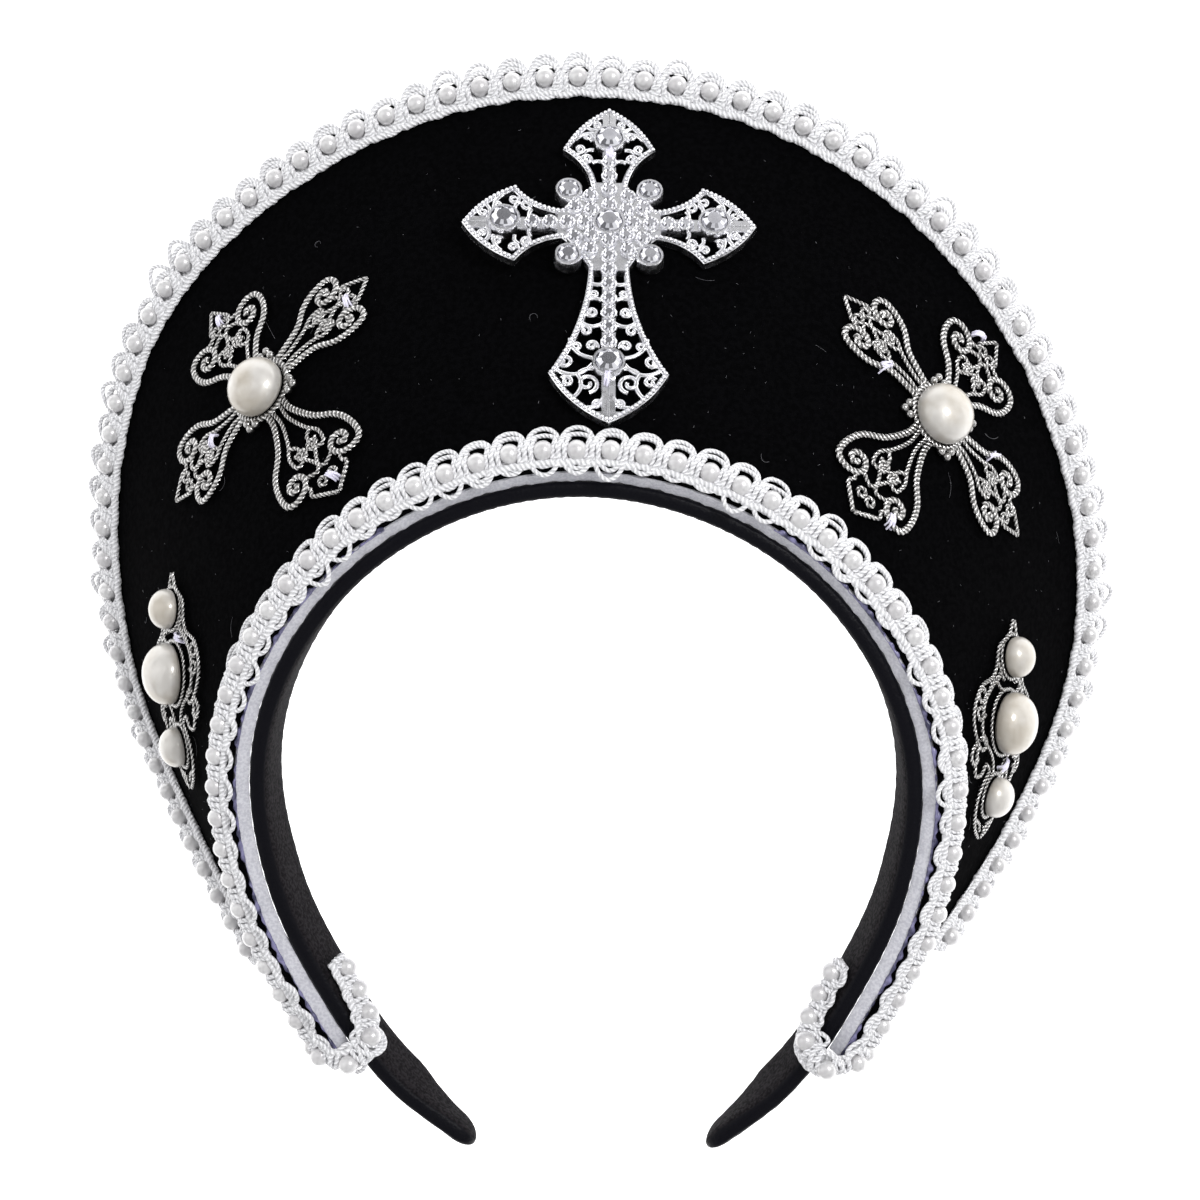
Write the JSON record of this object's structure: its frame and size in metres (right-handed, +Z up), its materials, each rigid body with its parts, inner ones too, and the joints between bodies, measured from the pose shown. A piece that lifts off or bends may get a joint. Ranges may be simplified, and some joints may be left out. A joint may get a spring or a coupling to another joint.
{
  "type": "french hood",
  "caption": "Crescent french hood: flared black velvet board on a padded headband, braid and bead trims, cast and filigree crosses with cabochons.",
  "frame": {"origin": "middle of the hood's footprint, on the surface that its rim rests on", "axes": "+Z up, out of the hood's front; +Y up the arch of the crescent; +X to the right as seen from the front"},
  "size_m": [0.2222, 0.2222, 0.0789],
  "materials": {
    "velvet": "deep pile",
    "band_velvet": "short pile",
    "foam": "cut foam sheet",
    "braid": "shiny twisted cord",
    "silver": "bright cast silver",
    "aged_silver": "aged silver with dark hollows",
    "crystal": "clear cut",
    "pearl": "warm ivory pearl"
  },
  "bodies": {
    "root": {"foam_board": "foam", "velvet_cover": "velvet", "headband": "band_velvet", "inner_trim": "braid", "outer_trim": "braid", "wrap_left": "braid", "wrap_right": "braid", "cross_body": "silver", "filigree_cross_left": "aged_silver", "filigree_cross_right": "aged_silver", "cross_pearl_left": "pearl", "cross_pearl_right": "pearl", "side_pin_left": "aged_silver", "side_pin_right": "aged_silver", "pin_pearl_left_upper": "pearl", "pin_pearl_left_middle": "pearl", "pin_pearl_left_lower": "pearl", "pin_pearl_right_upper": "pearl", "pin_pearl_right_middle": "pearl", "pin_pearl_right_lower": "pearl", "stone_centre": "crystal", "stone_top": "crystal", "stone_left": "crystal", "stone_right": "crystal", "stone_bottom": "crystal", "stone_corner_a": "crystal", "stone_corner_b": "crystal", "stone_corner_c": "crystal", "stone_corner_d": "crystal"}
  },
  "joints": []
}
